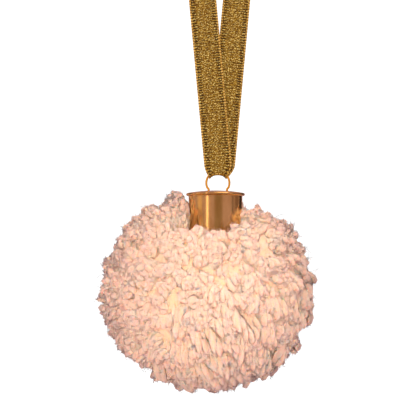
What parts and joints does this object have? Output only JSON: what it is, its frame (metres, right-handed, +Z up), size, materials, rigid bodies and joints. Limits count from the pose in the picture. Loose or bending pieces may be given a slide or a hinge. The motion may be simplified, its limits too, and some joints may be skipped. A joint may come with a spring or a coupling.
{
  "type": "yarn pom pom ornament",
  "caption": "Cream yarn pom pom hanging from a plain gold ornament cap, with a wire ring and a ribbed metallic gold ribbon loop.",
  "frame": {"origin": "on the underside of the ribbon loop's top, at the middle of its width, where it hangs on a hook", "axes": "+Z up along the hanging line, +X to the right as seen in the picture, and the picture looks along +Y"},
  "size_m": [0.0774, 0.0776, 0.1938],
  "materials": {
    "yarn": "soft matt cream wool-like yarn, cut ends bloomed",
    "string": "matt cotton string",
    "glue": "cloudy set hot glue",
    "cap_metal": "polished warm gold plate",
    "wire_metal": "polished gold plated wire",
    "ribbon": "metallic gold thread woven in crosswise ribs, sparkling"
  },
  "bodies": {
    "root": {"yarn_ball": "yarn", "centre_tie": "string", "glue_plug": "glue", "ornament_cap": "cap_metal", "wire_hanger": "wire_metal", "ribbon_loop": "ribbon"}
  },
  "joints": []
}
